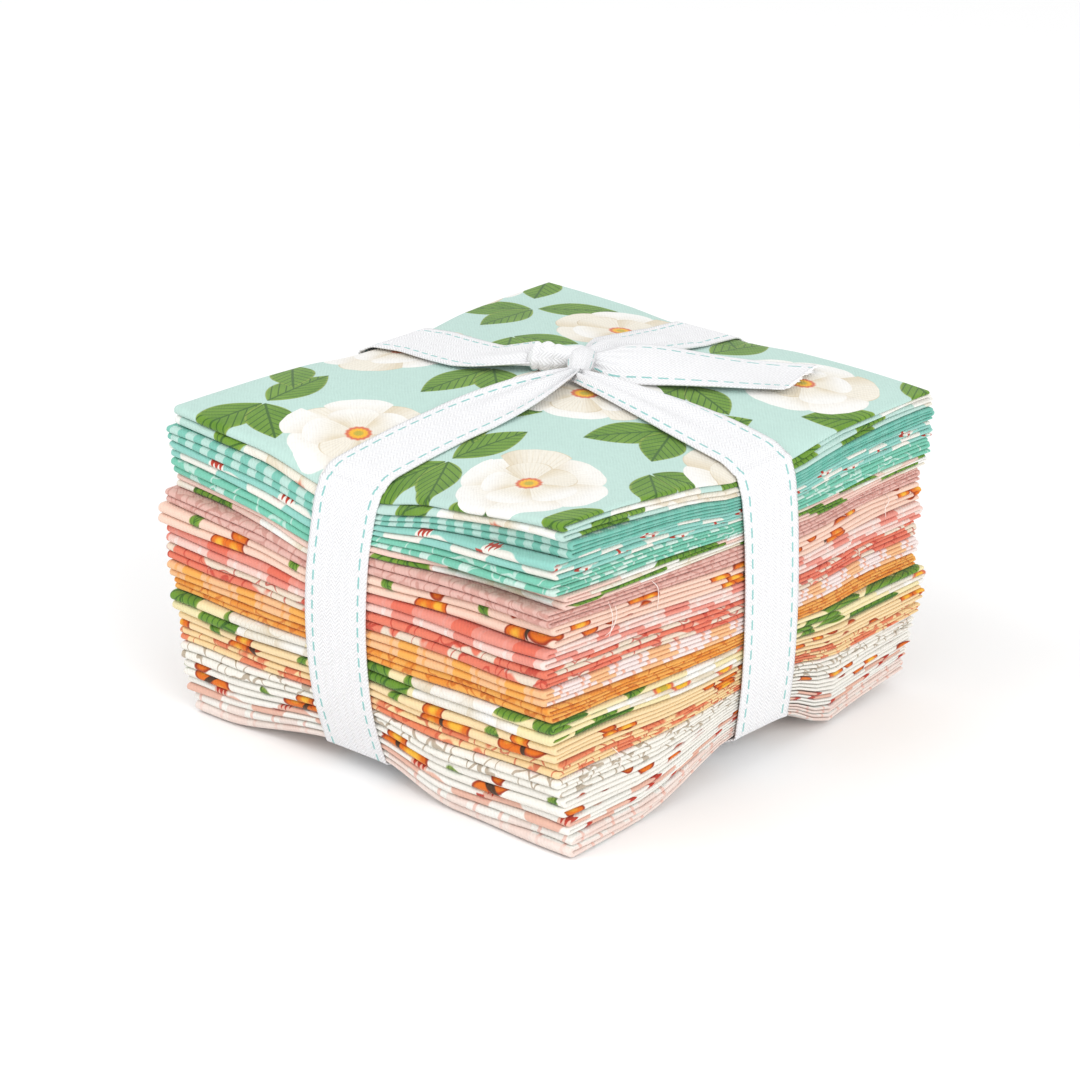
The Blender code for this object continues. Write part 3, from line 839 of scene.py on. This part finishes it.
def top_layer_places(shows):
    """Places along X and Y on a fabric's top layer. Few lie beneath the tape, and more where it shows."""
    left = -HALF_X + LEFT_TURN
    right = HALF_X - RIGHT_TURN
    if shows:
        return np.linspace(left, right, 66), np.linspace(-HALF_Y + 3, HALF_Y - 4, 60)
    xs = np.concatenate([
        np.linspace(left, -HALF_X + 8, 5),
        np.linspace(-HALF_X + 11, RIBBON_X - 14, 14),
        np.linspace(RIBBON_X - 11, RIBBON_X + 11, 8),
        np.linspace(RIBBON_X + 14, HALF_X - 9, 16),
        np.linspace(HALF_X - 7, right, 5)])
    return xs, np.linspace(-HALF_Y + 4, HALF_Y - 5, 18)


def build_fabrics():
    """The eighteen sheets, from the lowest up, each resting on the one below."""
    for index in reversed(range(len(ROWS))):
        name = f"fabric_{index + 1:02d}"
        print_name = ROWS[index]["print"]
        points, flat_s, flat_t = fabric_points(index, *top_layer_places(shows=index == 0))
        sheet = grid_mesh(f"{name}_sheet", points, flat_s, flat_t)
        lands = PRINT_LANDS.get(print_name, (LAND_STEPS[0] * index, LAND_STEPS[1] * index + TOP_LAND))
        sheet.data.materials.append(cotton(f"{name}_cotton", print_name, lands))
        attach(sheet, "root")
        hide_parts(name)


build_fabrics()


# The tape lies this far off the cloth, its second pass this far over its first, and it rounds the stack's
# edges at this radius
TAPE_CLEAR = 0.45
CROSS_STEP = 0.5
CORNER_ROUND = 1.4
TAPE_THICK = 0.45
# Vertices across the tape, and rows of them on each arm, each side and beneath
TAPE_COLUMNS = 25
ARM_ROWS = 44
SIDE_ROWS = 30
BASE_ROWS = 24
# Tape is stiffer than the cloth it lies on: this share of its height is level across it
ARM_LEVEL = 0.4
EDGE_LEVEL = 0.6
SIDE_LEVEL = 0.5
# How each of the four arms leaves the knot: where, how high over the cloth, how wide, how far it takes to
# open flat, how fast it opens at first, how much its +X or +Y edge stands up there, where its pleats
# start, and how far it bows aside on its way
ARM_COLUMNS = ("x", "y", "rise", "width", "reach", "opens", "tilt", "phase", "bow")
ARMS = {
    ("Y", -1): (3.7, 3.2, 0.8, 3.0, 40.0, 1.9, 0.0, 0.4, 0.0),
    ("Y", 1): (-1.0, 10.5, 1.6, 5.0, 44.0, 1.3, -2.0, 1.9, 0.0),
    ("X", 1): (6.0, 1.6, 0.2, 6.0, 48.0, 1.5, 0.0, 2.6, 0.0),
    ("X", -1): (-8.0, 2.8, 0.6, 4.0, 22.0, 1.9, 2.2, 1.2, -3.0),
}
BOW_REACH = 45.0
# An arm leans over to its own line at this power, and pleats of tape this wide take up its slack. Its tilt
# is full, and its rise has gone, after these shares of its reach
LEAN_POWER = 1.2
PLEAT_WIDTH = 11.0
TILTS_BY = 0.3
SINKS_BY = 0.8


def levelled(heights, level, share):
    return (1 - share) * heights + share * level


def tape_loop(name, axis):
    """One pass round the stack: from the knot over the top, down, beneath it and up to the knot again."""
    along_y = axis == "Y"
    half, tie = (HALF_Y, RIBBON_X) if along_y else (HALF_X, RIBBON_Y)
    columns = np.linspace(-1, 1, TAPE_COLUMNS)
    flat_across = tie + columns * RIBBON_WIDTH / 2
    clear = TAPE_CLEAR + (0.0 if along_y else CROSS_STEP)
    sides = {sign: ("+" if sign > 0 else "-") + axis for sign in (-1, 1)}
    top_edge = {sign: half + tied_face(0.0, side) for sign, side in sides.items()}
    base_edge = {sign: half + tied_face(1.0, side) for sign, side in sides.items()}
    rows = []

    def row(along, across, z):
        along = np.broadcast_to(along, columns.shape)
        rows.append(np.stack([across, along, z] if along_y else [along, across, z], axis=-1))

    def height(surface, along, across):
        along = np.full_like(columns, along)
        return surface(across, along) if along_y else surface(along, across)

    def top_row(along, arm, knot_along):
        knot_across = arm["x"] if along_y else arm["y"]
        away = abs(along - knot_along)
        share = min(away / arm["reach"], 1.0)
        opened = 1 - (1 - share) ** arm["opens"]
        width = arm["width"] + (RIBBON_WIDTH - arm["width"]) * opened
        leaning = away / (half - abs(knot_along))
        middle = knot_across + (tie - knot_across) * min(leaning, 1.0) ** LEAN_POWER
        middle += arm["bow"] * math.sin(math.pi * min(away / BOW_REACH, 1.0))
        across = middle + columns * width / 2
        base = height(top_height, along, across)
        base = levelled(base, base.max(), ARM_LEVEL)
        slack = math.sqrt(max((RIBBON_WIDTH / width) ** 2 - 1, 0.0)) * width / PLEAT_WIDTH
        pleat = 0.5 * slack * np.cos(columns * 2 * math.pi + arm["phase"]) + 0.5 * slack
        stands = (1 - share) * smoothstep(0, TILTS_BY, share)
        tilt = arm["tilt"] * columns * stands + abs(arm["tilt"]) * stands
        z = base + clear + arm["rise"] * (1 - smoothstep(0, SINKS_BY, share)) + pleat + tilt
        row(along, across, z)

    def round_row(sign, up, angle):
        edge = (top_edge if up > 0 else base_edge)[sign]
        edge_z = height(top_height if up > 0 else bottom_height, sign * edge, flat_across)
        edge_z = levelled(edge_z, edge_z.max() if up > 0 else edge_z.min(), EDGE_LEVEL)
        out = clear - CORNER_ROUND * (1 - math.sin(angle))
        row(sign * (edge + out), flat_across, edge_z + up * (clear - CORNER_ROUND * (1 - math.cos(angle))))

    def side_row(sign, share):
        out = half + clear + tied_face(share, sides[sign])
        z = height(lambda x, y: height_at(share, x, y), sign * out, flat_across)
        row(sign * out, flat_across, levelled(z, z.mean(), SIDE_LEVEL))

    def down(sign):
        """From the top onto the side and under the base."""
        for angle in np.linspace(0, math.pi / 2, 7)[:-1]:
            yield lambda a=angle: round_row(sign, 1, a)
        for share in np.linspace(0.04, 0.96, SIDE_ROWS):
            yield lambda s=share: side_row(sign, s)
        for angle in np.linspace(math.pi / 2, 0, 6)[1:]:
            yield lambda a=angle: round_row(sign, -1, a)

    arms = {sign: dict(zip(ARM_COLUMNS, ARMS[axis, sign])) for sign in (-1, 1)}
    knots = {sign: arms[sign]["y" if along_y else "x"] for sign in (-1, 1)}
    for along in np.linspace(knots[-1], CORNER_ROUND + 0.6 - top_edge[-1], ARM_ROWS):
        top_row(along, arms[-1], knots[-1])
    for step in down(-1):
        step()
    for along in np.linspace(CORNER_ROUND + 1 - base_edge[-1], base_edge[1] - CORNER_ROUND - 1, BASE_ROWS):
        z = height(bottom_height, along, flat_across).min() - clear
        row(along, flat_across, np.full_like(columns, z))
    for step in reversed(list(down(1))):
        step()
    for along in np.linspace(top_edge[1] - CORNER_ROUND - 0.6, knots[1], ARM_ROWS):
        top_row(along, arms[1], knots[1])
    tape_piece(name, np.array(rows))


def tape_piece(name, points):
    """Tape through rows of points. Its flat length is its surface's area over the tape's width."""
    middle = points[:, points.shape[1] // 2]
    flat_s = np.concatenate([[0], np.cumsum(np.linalg.norm(np.diff(middle, axis=0), axis=1))])
    piece = grid_mesh(name, points, flat_s, np.linspace(0, RIBBON_WIDTH, points.shape[1]))
    thick = piece.modifiers.new("thickness", "SOLIDIFY")
    thick.thickness = TAPE_THICK * MM
    thick.offset = 0.0
    piece.data.materials.append(TAPE)
    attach(piece, "root")
    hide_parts("ribbon")


def smooth_rows(table, steps):
    """Rows between the given ones, on a smooth curve through them."""
    table = np.array(table, float)
    padded = np.concatenate([[2 * table[0] - table[1]], table, [2 * table[-1] - table[-2]]])
    out = []
    for place in np.linspace(0, len(table) - 1, steps):
        k = min(int(place), len(table) - 2)
        t = place - k
        a, b, c, d = padded[k:k + 4]
        squared = (2 * a - 5 * b + 4 * c - d) * t**2
        cubed = (3 * b - a - 3 * c + d) * t**3
        out.append(0.5 * (2 * b + (c - a) * t + squared + cubed))
    return np.array(out)


# Vertices across the tape in the knot and the free end, and half waves in the pleats across a strip
KNOT_COLUMNS = 41
STRIP_PLEATS = 5.5


def tape_strip(name, table, steps, slant=0.0, heading=None):
    """Tape along a curve. Columns: x, y, z, width, half turn of its section in degrees, pleats, tilt."""
    rows = smooth_rows(table, steps)
    columns = np.linspace(-1, 1, KNOT_COLUMNS)
    spine = rows[:, :3]
    ahead = np.gradient(spine, axis=0)
    ahead /= np.linalg.norm(ahead, axis=1)[:, None]
    points = []
    for place, (centre, way, row) in enumerate(zip(spine, ahead, rows)):
        width, turn, pleat, tilt = row[3:7]
        side = np.cross((0.0, 0.0, 1.0), way) if heading is None else np.array(heading, float)
        side = side - way * side.dot(way)
        side /= np.linalg.norm(side)
        up = np.cross(way, side)
        lean = math.radians(tilt)
        side, up = side * math.cos(lean) + up * math.sin(lean), up * math.cos(lean) - side * math.sin(lean)
        half_turn = math.radians(max(turn, 1.0))
        radius = width / 2 / math.sin(min(half_turn, math.pi / 2))
        out = radius + pleat * np.cos(columns * STRIP_PLEATS * math.pi + 0.7)
        angle = columns * half_turn
        share = place / (len(rows) - 1)
        past = slant * columns * smoothstep(0.75, 1.0, share)
        points.append(centre + np.outer(out * np.sin(angle), side)
                      + np.outer(out * np.cos(angle) - radius, up) + np.outer(past, way))
    points = np.array(points)
    tape_piece(name, points)
    return points


# The gathered turn of the knot, from its left end to its right one. It is ribbed to the left, and each
# end is drawn in by a share of its radius
ROLL_FROM = np.array([-12.2, 1.8, 97.6])
ROLL_TO = np.array([1.0, 10.4, 98.0])
ROLL_RADIUS = 3.2
ROLL_ROWS = 60
RIB_HEIGHT = 0.75
RIB_COUNT = 4.2
LEFT_DRAWN = 0.45
RIGHT_DRAWN = 0.25


def knot_roll():
    """The tape wound round its own gathered strand, ribbed where it is drawn tight."""
    axis = ROLL_TO - ROLL_FROM
    length = np.linalg.norm(axis)
    axis = axis / length
    side = np.cross((0, 0, 1.0), axis)
    side /= np.linalg.norm(side)
    up = np.cross(axis, side)
    points = []
    for share in np.linspace(0, 1, ROLL_ROWS):
        ribs = RIB_HEIGHT * np.abs(np.sin(share * RIB_COUNT * math.pi + 0.6))
        ribs = ribs * (1 - smoothstep(0.40, 0.62, share))
        left_drawn = LEFT_DRAWN * (1 - smoothstep(0.0, 0.12, share))
        ends = 1 - left_drawn - RIGHT_DRAWN * smoothstep(0.85, 1.0, share)
        row = []
        for angle in np.linspace(-math.pi, math.pi, KNOT_COLUMNS):
            twist = angle + 0.5 * share
            creases = 0.22 * math.sin(3 * twist + 5 * share) + 0.12 * math.sin(7 * twist)
            radius = ROLL_RADIUS * ends + ribs + creases
            row.append(ROLL_FROM + axis * (share * length + 0.35 * math.sin(twist + 1.0))
                       + side * radius * 1.05 * math.sin(angle) + up * radius * math.cos(angle))
        points.append(row)
    tape_piece("tape_knot", np.array(points))


# The twill: its herringbone columns, the slant and pitch of its ridges, and its threads. The dashed
# stitches: their length, their spacing and how far they lie in from an edge
TWILL_COLUMN = 3.18
TWILL_SLANT = 1.15
TWILL_PITCH = 1.15
TWILL_THREAD = 0.55
STITCH = 2.7
STITCH_SPACING = 4.3
STITCH_INSET = 2.7
STITCH_TEAL = srgb(124, 190, 186)
TAPE_WHITE = srgb(250, 250, 252)


def twill_tape():
    """White herringbone twill, its ridges and threads shown as a bump and as painted shade in the white, with
    a dashed pale teal stitch near both edges.
    """
    paint = Paint("white_twill_tape", roughness=0.8)
    column = paint.u / TWILL_COLUMN
    slant = abs(column.fract() - 0.5) * TWILL_COLUMN
    ridge_bump_and_shade = ((paint.v + slant * TWILL_SLANT) * (2 * math.pi / TWILL_PITCH)).sin()
    fine = (paint.u * (2 * math.pi / TWILL_THREAD)).sin() * (paint.v * (2 * math.pi / TWILL_THREAD)).sin()
    edge = abs(paint.u - RIBBON_WIDTH / 2)
    line = (0.32 - abs(edge - (RIBBON_WIDTH / 2 - STITCH_INSET))).edge(0.15)
    dash = stripes(paint.v, STITCH, STITCH_SPACING, 0.3) * line
    # The ridge and fine thread terms are painted shade along the twill, as well as the bump; the slow noise
    # is the tape's own uneven tone
    shade = (ridge_bump_and_shade * 0.075 + fine * 0.015 + paint.noise(1.5, 2.0) * 0.05) + CLOTH_SHADE * 1.03
    colour = paint.mix(dash * 0.9, paint.shaded(TAPE_WHITE, shade), STITCH_TEAL)
    return paint.finish(colour, ridge_bump_and_shade * 0.7 + fine * 0.3 + dash * 0.5, strength=0.6, distance=0.00018)


TAPE = twill_tape()
tape_loop("tape_front_to_back", "Y")
tape_loop("tape_side_to_side", "X")
knot_roll()
# The turn that comes over the knot's right end and curls down in front of it, and the way across it
WRAP_ACROSS = (0.743, 0.669, 0.0)
tape_strip("tape_wrap", (
    (-2.6, 14.6, 95.6, 5.0, 50, 0.04, 0),
    (-2.0, 13.0, 98.6, 6.4, 60, 0.05, 0),
    (-0.4, 10.2, 100.9, 7.2, 70, 0.06, 0),
    (2.0, 6.9, 100.9, 7.2, 75, 0.06, 0),
    (4.1, 3.8, 98.8, 6.4, 75, 0.06, 0),
    (5.0, 2.2, 95.8, 5.0, 70, 0.04, 0),
), 40, heading=WRAP_ACROSS)
# The free end, and how far its cut slants past its middle at both edges
CUT_SLANT = 5.6
FREE_END = tape_strip("tape_free_end", (
    (-1.0, 8.5, 98.0, 5.5, 75, 0.3, 0),
    (3.6, 11.8, 98.4, 8.0, 65, 0.35, 18),
    (7.6, 14.6, 98.2, 15.0, 36, 0.25, 20),
    (12.0, 18.6, 97.8, 19.6, 16, 0.06, 15),
    (17.5, 23.6, 97.0, 21.6, 8, 0.0, 11),
    (24.0, 30.2, 95.6, 22.1, 4, 0.0, 7),
    (31.5, 38.6, 93.8, 22.2, 2, 0.0, 3),
    (38.0, 45.6, 92.6, 22.2, 1, 0.0, 1),
    (43.4, 51.0, 92.0, 22.2, 1, 0.0, 0),
), 70, slant=CUT_SLANT)


# Single threads: their radius, sides and steps, and how thin their ends are
FRAYED_RADIUS = 0.16
LOOSE_RADIUS = 0.12
THREAD_SIDES = 4
THREAD_STEPS = 12
THREAD_TAPER = 0.45


def threads(name, routes, radius, colour):
    """Fine threads, each a thin tube along its route in mm, in one piece."""
    places, faces, flat = [], [], []
    for route in routes:
        line = smooth_rows(route, THREAD_STEPS)
        ahead = np.gradient(line, axis=0)
        ahead /= np.linalg.norm(ahead, axis=1)[:, None]
        first = len(places)
        for step, (centre, way) in enumerate(zip(line, ahead)):
            side = np.cross(way, (0.31, 0.22, 0.92))
            side /= np.linalg.norm(side)
            up = np.cross(way, side)
            end = min(step, len(line) - 1 - step) / 3
            thick = radius * (THREAD_TAPER + (1 - THREAD_TAPER) * min(end, 1.0))
            for corner in range(THREAD_SIDES):
                angle = corner * 2 * math.pi / THREAD_SIDES
                places.append(centre + thick * (math.cos(angle) * side + math.sin(angle) * up))
                flat.append((corner * radius, step * 0.8 + first))
        for ring in range(first, len(places) - THREAD_SIDES, THREAD_SIDES):
            for corner in range(THREAD_SIDES):
                near = ring + corner
                beside = ring + (corner + 1) % THREAD_SIDES
                faces.append((near, beside, beside + THREAD_SIDES, near + THREAD_SIDES))
        last = len(places) - THREAD_SIDES
        faces.append(tuple(first + corner for corner in reversed(range(THREAD_SIDES))))
        faces.append(tuple(last + corner for corner in range(THREAD_SIDES)))
    piece = cloth_object(name, np.array(places), faces, np.array(flat))
    paint = Paint(f"{name}_cotton")
    shade = paint.noise(2.5, 2.0) * 0.25 + 0.95
    material = paint.finish(paint.shaded(colour, shade), shade, strength=0.2, distance=0.00004)
    piece.data.materials.append(material)
    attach(piece, "root")


# Threads at these places of the cut are longer, by so much
LONG_THREADS = (12, 27, 39)
LONGER = 1.7


def frayed_end():
    """Warp threads that stand out past the free end's slanted cut."""
    routes = []
    for place in range(1, KNOT_COLUMNS - 1):
        start = FREE_END[-1, place]
        way = start - FREE_END[-3, place]
        way = way / np.linalg.norm(way)
        side = start - FREE_END[-1, place - 1]
        side = side / np.linalg.norm(side)
        reach = rng.uniform(0.5, 1.5) * (LONGER if place in LONG_THREADS else 1.0)
        bend = rng.uniform(-0.5, 0.5)
        lift = rng.uniform(-0.1, 0.35)
        routes.append([
            start - way * 0.8,
            start + way * reach * 0.5 + side * bend * 0.3 + (0, 0, lift * 0.4),
            start + way * reach + side * bend + (0, 0, lift)])
    threads("frayed_tape_end", routes, FRAYED_RADIUS, srgb(246, 246, 248))


# Loose threads on the layers' ends, each from a crease, in mm
LOOSE_THREADS = (
    ((66.0, -55.5, 64.5), (68.6, -56.6, 62.0), (68.2, -55.8, 58.5), (68.4, -57.4, 55.0)),
    ((66.0, -53.0, 63.5), (68.4, -54.4, 60.5), (68.3, -56.0, 57.0), (68.2, -58.6, 55.8)),
    ((66.0, -40.5, 66.0), (68.6, -39.2, 64.0), (68.3, -38.0, 61.0), (68.3, -38.4, 57.0)),
    ((67.5, -56.5, 25.0), (70.4, -55.6, 23.0), (70.3, -54.4, 20.5), (70.2, -55.4, 17.5)),
    ((67.0, 59.6, 61.5), (69.8, 58.0, 60.5), (69.9, 56.2, 58.6), (69.5, 57.2, 55.5)),
    ((66.5, 44.5, 53.0), (69.0, 42.6, 53.2), (69.2, 40.4, 51.6), (68.8, 38.6, 49.6)),
)

frayed_end()
threads("loose_threads", LOOSE_THREADS, LOOSE_RADIUS, srgb(252, 238, 232))


# The camera, at the photograph's angle: what it looks at and its distance in metres, its lens and sensor in
# mm. Then the world's light, and the floor's size and how far beneath the stack it lies, in metres
AIM = Vector((-0.0025, -0.0014, 0.0474))
AZIMUTH = math.radians(42.06)
ELEVATION = math.radians(21.12)
DISTANCE = 1.0
LENS = 120.5
SENSOR = 36.0
SKY_STRENGTH = 0.95
FLOOR_SIZE = 8.0
FLOOR_DROP = 0.0004


def build_camera():
    data = bpy.data.cameras.new("camera")
    data.lens = LENS
    data.sensor_width = SENSOR
    camera = bpy.data.objects.new("camera", data)
    bpy.context.scene.collection.objects.link(camera)
    level = math.cos(ELEVATION)
    back = Vector((math.sin(AZIMUTH) * level, -math.cos(AZIMUTH) * level, math.sin(ELEVATION)))
    camera.location = AIM + back * DISTANCE
    camera.rotation_euler = back.to_track_quat("Z", "Y").to_euler()
    bpy.context.scene.camera = camera


def area_light(name, place, size, watts):
    """A round light at a place in metres, turned to the stack."""
    data = bpy.data.lights.new(name, "AREA")
    data.shape = "DISK"
    data.size = size
    data.energy = watts
    lamp = bpy.data.objects.new(name, data)
    bpy.context.scene.collection.objects.link(lamp)
    lamp.location = place
    lamp.rotation_euler = (Vector(place) - AIM).to_track_quat("Z", "Y").to_euler()


def build_studio():
    """A white world, two soft lights and a plain floor just beneath the stack."""
    world = bpy.data.worlds.new("studio")
    world.use_nodes = True
    sky = world.node_tree.nodes["Background"]
    sky.inputs["Color"].default_value = (1.0, 1.0, 1.0, 1.0)
    sky.inputs["Strength"].default_value = SKY_STRENGTH
    bpy.context.scene.world = world
    bpy.context.scene.view_settings.view_transform = "Standard"
    area_light("key", (-0.5, -0.9, 1.1), size=0.9, watts=5.0)
    area_light("fill", (1.2, -0.5, 0.7), size=0.9, watts=8.0)
    bpy.ops.object.select_all(action="DESELECT")
    bpy.ops.mesh.primitive_plane_add(size=FLOOR_SIZE, location=(0, 0, -FLOOR_DROP))
    floor = bpy.context.active_object
    floor.name = "floor"
    material = bpy.data.materials.new("floor_white")
    material.use_nodes = True
    shader = material.node_tree.nodes["Principled BSDF"]
    shader.inputs["Base Color"].default_value = (0.94, 0.94, 0.94, 1.0)
    shader.inputs["Roughness"].default_value = 0.9
    floor.data.materials.append(material)


build_camera()
build_studio()
